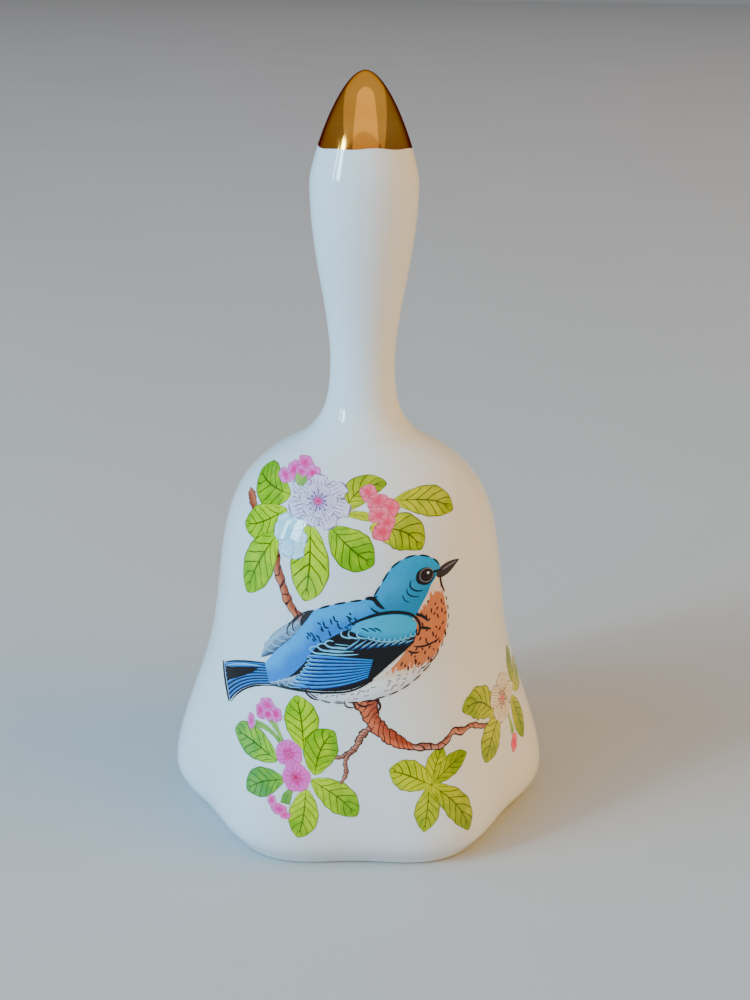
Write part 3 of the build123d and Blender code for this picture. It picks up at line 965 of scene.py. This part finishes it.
def wing():
    """The folded near wing: dark ground, flight feathers, coverts with light edges, and the shoulder."""
    top = [
        (11.4, 50.2), (5, 50.6), (-1.2, 51.2), (-4.6, 49.6), (-8.4, 46.8), (-11.4, 42.6), (-14.6, 39.6),
        (-18.4, 37.9),
    ]
    low = [
        (10.6, 47.6), (8.6, 46), (5.6, 43.6), (2.8, 41.2), (-1.4, 39), (-5.6, 38.3), (-11, 38), (-18, 37.4)
    ]
    paint("wing_ground", night_ink, 7, [between(top, low, 48, 11)])

    def vane_edge(s):
        """One long edge of a flight feather, s from 0 at the wing's upper side to 1 at its foot."""
        root, middle = (2.6 - s, 44.9 - 3.7 * s), (-4.2 - 0.6 * s, 45.3 - 6.3 * s)
        return [root, middle, (-9.6 - 5 * s**1.6, 45.2 - 7.2 * s**0.9)]

    quills = [between(vane_edge(k / 9), vane_edge((k + 0.9) / 9), 24, 7) for k in range(9)]
    paint("flight_feathers", wing_quill, 8, quills)
    grey_end = between(
        [(-12.6, 40.6), (-15, 39.4), (-18.4, 37.9)], [(-13, 38.2), (-15.4, 37.9), (-18, 37.5)], 14
    )
    paint("wing_end", grey_quill, 9, [grey_end])
    tip_rows = [(-13, 40.2), (-14.2, 39.6), (-15.4, 39.1), (-16.6, 38.6)]
    tips = [
        stroke([(x + 1.3, y - 1), (x + 0.2, y - 0.7), (x, y), (x + 0.8, y + 0.3)], 0.24)
        for x, y in tip_rows
    ]
    paint("wing_end_edges", mist_line, 11, tips)

    hooks = []
    for k in range(9):
        tip, low_edge = vane_edge((k + 0.45) / 9)[2], vane_edge((k + 0.9) / 9)
        turn = [(tip[0] + 1.4, tip[1] + 0.3), (tip[0] + 0.2, tip[1] + 0.3), (tip[0] - 0.4, tip[1])]
        x, y = low_edge[2]
        hooks.append(stroke(turn + [(x + 0.5, y), (x + 1.8, y + 0.05), (x + 3.2, y + 0.15)], 0.17, 0.8, 0.1))
    for k in range(3):
        x, y = -6.6 - 1.5 * k, 47.8 - 0.75 * k
        turn = [(x + 1.6, y + 0.5), (x + 0.5, y + 0.55), (x - 0.1, y), (x + 0.5, y - 0.5)]
        outer = turn + [(x + 3, y - 0.62), (x + 4.6 + 2.4 * k, y - 0.7 + 0.2 * k)]
        inner = [(x + 1.8, y + 0.05), (x + 3.2, y - 0.05), (x + 4.6 + k, y - 0.1)]
        hooks += [stroke(outer, 0.34, 0.5, 0.25), stroke(inner, 0.16, 0.3, 0.3)]
    paint("covert_edges", pale_line, 10, hooks)
    fills = []
    for k in range(9):
        start, end = (0.2 + 1.3 * k, 49 - 0.1 * k), (-3 + 1.36 * k, 46.7 + 0.12 * k)
        fills.append(blade(start, end, 0.85, 0.35, ripple=0))
    paint("secondary_feathers", covert_quill, 11, fills[::-1])
    small = [
        stroke([(x - 0.9, 50.7), (x - 1.1, 49.7), (x, 49.2), (x + 1.4, 49.3)], 0.3) for x in (-2.4, -1, 0.6)
    ]
    over = [(-1.8, 50.6), (-0.8, 52), (2.2, 53.3), (5.6, 53.7), (8.8, 53.3), (11.2, 51.4)]
    beneath = [(-1.4, 50.4), (0.2, 49.7), (2.8, 49), (5.6, 48.6), (8.4, 48.5), (10.8, 49.4)]
    paint("wing_shoulder", wing_turquoise, 12, [between(over, beneath, 40, 13)])
    rings = []
    for k in range(9):
        x, y = 2.2 + 1.02 * k, 48.7 + 0.04 * (k - 4) ** 2
        scallop = [(x - 0.45, y + 0.3), (x - 0.4, y - 0.3), (x + 0.3, y - 0.35), (x + 0.5, y + 0.2)]
        rings.append(stroke(scallop, 0.24, 0.7, 0.7))
    paint("shoulder_rings", pale_line, 13, small + rings)
    fine = [stroke([(x, 51.2), (x + 0.9, 50.9), (x + 1.5, 50.4)], 0.26) for x in (0.2, 1.6, 2.6)]
    upper_edge = [(-2.4, 51.6), (0.6, 53), (4.2, 54), (7.6, 54), (10.4, 53), (11.8, 51), (11.4, 48.9)]
    outline_strokes = [
        stroke(upper_edge, 0.6, 0.3, 0.4),
        stroke([(4.4, 53.9), (3, 54.4), (2, 55.2)], 0.35),
        stroke([(1, 57), (2.6, 56.9), (3.4, 55.9), (4.6, 54.9)], 0.8, 0.5, 0.1),
        stroke([(11, 53.2), (12.4, 52.6), (13.6, 51.4)], 0.55, 0.8, 0.1),
        stroke([(11.8, 50.4), (13, 50.2), (14.2, 49.8)], 0.5, 0.8, 0.1),
        stroke([(10.6, 46.9), (12.4, 46.6), (14.4, 46.9), (16.2, 47.6)], 0.34),
        stroke([(9.4, 46.2), (10.6, 45.6), (11.8, 45.6)], 0.34),
        stroke([(-18.6, 37.5), (-12, 37.7), (-6, 38), (-1.2, 38.8), (2.6, 41)], 0.4, 0.3, 0.5),
    ]
    paint("wing_outline", night_ink, 14, outline_strokes + fine)


def face():
    """Eye, beak and the fine lines of the cheek."""
    paint("beak", horn_ink, 7, [blade((15.3, 60), (21.1, 62.1), 2.2, 0.2, 0.35, 0.75, 0)])
    paint("beak_light", grey_ink, 8, [stroke([(16.8, 61), (18.6, 61.6), (20.2, 61.9)], 0.35)])
    eye = (13.1, 60.6)
    paint("eye_shade", night_ink, 6, [dab((12.8, 60.4), 2, 1.7, ripple=0.02)])
    paint("eye_ring", grey_ink, 7, [dab(eye, 1.55, 1.4, ripple=0.02)])
    paint("eye_black", night_ink, 8, [dab(eye, 1.35, 1.22, ripple=0)])
    paint("eye_iris", brown_ink, 9, [dab(eye, 0.85, 0.8, ripple=0)])
    paint("eye_pupil", night_ink, 10, [dab(eye, 0.6, 0.55, ripple=0)])
    paint("eye_light", light_ink, 11, [dab((13.4, 61), 0.26, 0.22)])
    fine = [
        stroke([(14.4, 60.9), (15.2, 61), (16.4, 60.9)], 0.45, 0.8, 0.8),
        stroke([(9.8, 60), (9.7, 58.8), (10.8, 57.9), (12.4, 57.8)], 0.3),
        stroke([(9, 58.6), (9.3, 57.4), (10.4, 56.8), (11.6, 56.7)], 0.24),
        stroke([(8.2, 57.4), (8.7, 56.2), (9.6, 55.8)], 0.18),
    ]
    paint("cheek_lines", night_ink, 7, fine)


def perch():
    """The bent twig that the bird stands on, with its side shoots."""
    stem = [
        (1.2, 37), (1.8, 35.2), (2.4, 33.4), (3.6, 31.6), (5, 30.2), (6.8, 28.9), (8.6, 27.9), (10.4, 27.2)
    ]
    knee = [(1.4, 36.2), (3.4, 36.7), (4.1, 35.6), (3.4, 34.2)]
    paint("perch_twig", bark, 3, [twig(stem, [5.4, 4, 3, 3.1, 2.8, 3, 2.2, 1.2], 0.08)])
    bend_lines = [stroke(knee, 0.5), stroke([(-0.6, 36.4), (0.8, 35.6), (2, 35.9)], 0.4)]
    paint("perch_knee", brown_ink, 4, bend_lines)
    reach = [
        (8.4, 27.8), (10.8, 27), (13.6, 26.8), (16.2, 26.4), (17.8, 27.2), (19.4, 28.5), (21.4, 28),
        (24, 28.3), (27, 27.2), (30.8, 25.9),
    ]
    shoot = [(2.6, 31.4), (0.6, 29.8), (-0.6, 27.4), (-2.4, 25.8), (-4.6, 25.2)]
    spur = [(-1.7, 26.4), (-2.6, 24.4), (-2.4, 22.4), (-3.6, 20)]
    thin = [
        twig(reach, [1.6, 1.5, 1.4, 1.3, 1.5, 1, 1.2, 0.8], 0.15),
        twig(shoot, [1.1, 1.7, 1.2, 1.3, 0.6], 0.15, 44),
    ]
    paint("thin_twig", thin_bark, 2, thin + [twig(spur, [1.1, 0.8, 1, 0.5], 0.15, 34)])


def left_cluster():
    """Pink blossom, buds and six leaves on the lower left."""
    leaves = [
        blade((-10.7, 26.2), (-12.6, 36.6), 7.2, -0.5),
        blade((-8.6, 21.6), (-4.6, 30.4), 6.8, 1.2, ripple=0.03),
        blade((-9.2, 20.6), (-0.2, 13.4), 6.2, 0.8, ripple=0.03),
        blade((-10.2, 18.8), (-11.8, 8.8), 5.8, 0.5),
    ]
    paint("left_leaves", fresh_leaf, 2, leaves, [0.3, 0.6, 0.55, 0.35])
    # These two leaves take the bluer leaf paint, a painted cool reflection of the left light.
    cool = [
        blade((-16, 23.4), (-27.6, 25.8), 6.4, -1.1),
        blade((-14.4, 20.2), (-22.8, 16), 5.6, -0.9, bluntness=0.55),
    ]
    paint("left_cool_lit_leaves", cool_lit_leaf, 1, cool, [0.45, 0.9])
    stems = [
        twig([(-14.9, 26.6), (-16.2, 29), (-17.8, 30.8)], [0.7, 0.9, 1.6], 0.05, 16),
        twig([(-15.1, 26.4), (-19, 29), (-21.6, 29)], [0.7, 0.9, 1.5], 0.05, 18),
        twig([(-12.8, 18.6), (-13.8, 17), (-14.2, 15.4)], [0.6, 1.7, 2], 0.05, 14),
    ]
    paint("left_stems", stem_green, 3, stems)
    buds = [
        (-18.9, 33.2, 1.9, 1.6), (-16.8, 32, 1.4, 1.5), (-20.4, 31.8, 1.3, 1.6), (-18.6, 31.6, 1.4, 1.2),
        (-22.8, 29.2, 1, 1.6),
    ]
    buds += [(-15.4, 14.2, 1.6, 1.1), (-16.9, 15.6, 0.9, 1.2), (-14.2, 13.2, 1.1, 0.8)]
    paint("left_buds", pink_bud, 4, [dab((x, y), rx, ry) for x, y, rx, ry in buds])
    behind = [
        (150, 2.8, 2.7), (96, 2.8, 2.7), (40, 2.8, 2.7), (-20, 2.7, 2.6), (206, 2.7, 2.6), (-82, 2.4, 2.4)
    ]
    ahead = [
        (134, 2.7, 2.7), (72, 2.8, 2.7), (10, 2.9, 2.8), (-52, 2.9, 2.8), (-112, 2.8, 2.7), (188, 2.7, 2.6)
    ]
    blossoms = flower((-13.7, 25), behind) + flower((-12.2, 20.8), ahead)
    paint("left_blossom", pink_petal, 5, blossoms)
    hearts = [dab((-13.7, 25), 0.7, 0.6), dab((-12.2, 20.8), 0.9, 0.8)]
    paint("left_blossom_hearts", heart_pink, 6, hearts)


def right_sprig():
    """Six leaves on the lower right."""
    leaves = [
        blade((14.1, 19.2), (16.8, 26.2), 4.2, 0.3),
        blade((14.2, 19.3), (22.6, 23.6), 4.2, 0.8, ripple=0.03),
        blade((14.3, 19.3), (6, 22.8), 6.2, -0.4, ripple=0.03),
        blade((13.9, 19.6), (12.9, 10), 5, 0.2, bluntness=0.75),
        blade((14.2, 19.4), (18.6, 14.4), 3.2, 0.4),
        blade((14.3, 19.4), (22.4, 8.4), 5.2, 1.6, ripple=0.04),
    ]
    paint("sprig_leaves", warm_lit_leaf, 1, leaves, [0.35, 0.8, 0.2, 0.4, 0.9, 0.55])


def side_cluster():
    """White blossom, leaves and a bud where the twig reaches round the right side."""
    leaves = [
        blade((32.6, 27.6), (21.8, 31.6), 6.4, -2.4, ripple=0.06),
        blade((34.6, 27), (28.2, 19.6), 7.6, -0.4, ripple=0.03),
        blade((40.8, 28), (46, 17.8), 4.8, 0.6),
        blade((42.6, 30), (41.6, 37.6), 4.2, -0.4),
        blade((42.6, 28.6), (51.4, 30.2), 6, 0.8),
    ]
    paint("side_leaves", warm_lit_leaf, 3, leaves, [0.55, 0.4, 0.6, 0.9, 0.4])
    stem = twig([(37.8, 26.6), (39.6, 23.6), (40.8, 20.8)], [0.5, 0.6, 1.4], 0.05, 18)
    paint("side_stem", stem_green, 4, [stem])
    paint("side_bud", rose_bud, 5, [dab((41.2, 18.6), 1.4, 1.9)])
    centre = (36.2, 29.4)
    petals = [
        (98, 5, 3.8), (50, 4.6, 4), (-4, 5.2, 4.2), (-58, 5, 3.8), (-100, 4.8, 3.8), (212, 4.6, 3.8),
        (158, 5.6, 4.2),
    ]
    paint("side_blossom", cream_petal, 6, flower(centre, petals, ripple=0.14))
    paint("side_stamens", brown_ink, 7, stamens(centre, 2.2, 9))
    paint("side_blossom_heart", rose_bud, 8, [dab(centre, 0.6)])


upper_spray()
bird()
wing()
face()
perch()
left_cluster()
right_sprig()
side_cluster()


# ---- floor, lights and camera ----
def pale_floor():
    """A wide pale floor, matte, with a faint mottle."""
    mesh = bpy.data.meshes.new("floor")
    half = 7.0
    corners = [(-half, -half, 0), (half, -half, 0), (half, half, 0), (-half, half, 0)]
    mesh.from_pydata(corners, [], [(0, 1, 2, 3)])
    floor = bpy.data.objects.new("floor", mesh)
    bpy.context.scene.collection.objects.link(floor)
    g = Finish("pale_floor", Roughness=0.75)
    g.put("Base Color", g.mix(g.noise(g.place, 6), (188, 188, 188), (196, 196, 195)))
    mesh.materials.append(g.made)


def soft_box(name, place, target, size, watts, tint, mirrored=True):
    """A rectangular studio light at place, facing target; glossy surfaces show it only if mirrored."""
    light = bpy.data.lights.new(name, "AREA")
    light.shape = "RECTANGLE"
    light.size, light.size_y = size
    light.energy = watts
    light.color = tint
    lamp = bpy.data.objects.new(name, light)
    lamp.visible_glossy = mirrored
    lamp.location = place
    lamp.rotation_euler = (Vector(target) - Vector(place)).to_track_quat("-Z", "Y").to_euler()
    bpy.context.scene.collection.objects.link(lamp)


def studio():
    """Pale surroundings, a cool window side on the left, a warm side on the right and a soft light above."""
    world = bpy.data.worlds.new("studio")
    world.use_nodes = True
    background = world.node_tree.nodes["Background"]
    background.inputs["Color"].default_value = colour((226, 228, 232))
    background.inputs["Strength"].default_value = 0.30
    bpy.context.scene.world = world
    middle = (0, 0, 0.5 * overall_height * MM)
    soft_box("cool_side", (-2.7, -1.4, 1.5), middle, (3.0, 2.6), 118.0, (0.08, 0.45, 1.0), mirrored=False)
    soft_box("warm_side", (2.9, -0.9, 1.4), middle, (3.0, 2.4), 104.0, (1.0, 0.54, 0.02), mirrored=False)
    soft_box("front_fill", (0.05, -1.15, 1.15), middle, (1.8, 1.5), 4.0, (1.0, 0.86, 0.70))
    soft_box("ceiling", (0.0, 1.0, 4.0), (0.0, 1.0, 0.0), (12.0, 12.0), 136.0, (1.0, 0.99, 0.98))
    soft_box("window_pane", (-0.80, -0.50, 0.46), middle, (0.15, 0.34), 6.5, (0.50, 0.90, 1.0))
    soft_box("window_glint", (-0.92, -0.34, 0.40), middle, (0.05, 0.30), 1.9, (0.50, 0.90, 1.0))


def camera():
    """The viewing camera: close, above the bell and turned a little about its own line of sight."""
    data = bpy.data.cameras.new("camera")
    data.lens = 55.84
    data.sensor_width = 36.0
    made = bpy.data.objects.new("camera", data)
    bpy.context.scene.collection.objects.link(made)
    place, target = Vector((0, -0.300, 0.1694)), Vector((0.00284, 0, 0.06491))
    made.location = place
    made.rotation_mode = "QUATERNION"
    roll = Quaternion((0, 0, 1), np.radians(0.77))
    made.rotation_quaternion = (target - place).to_track_quat("-Z", "Y") @ roll
    bpy.context.scene.camera = made


pale_floor()
studio()
camera()
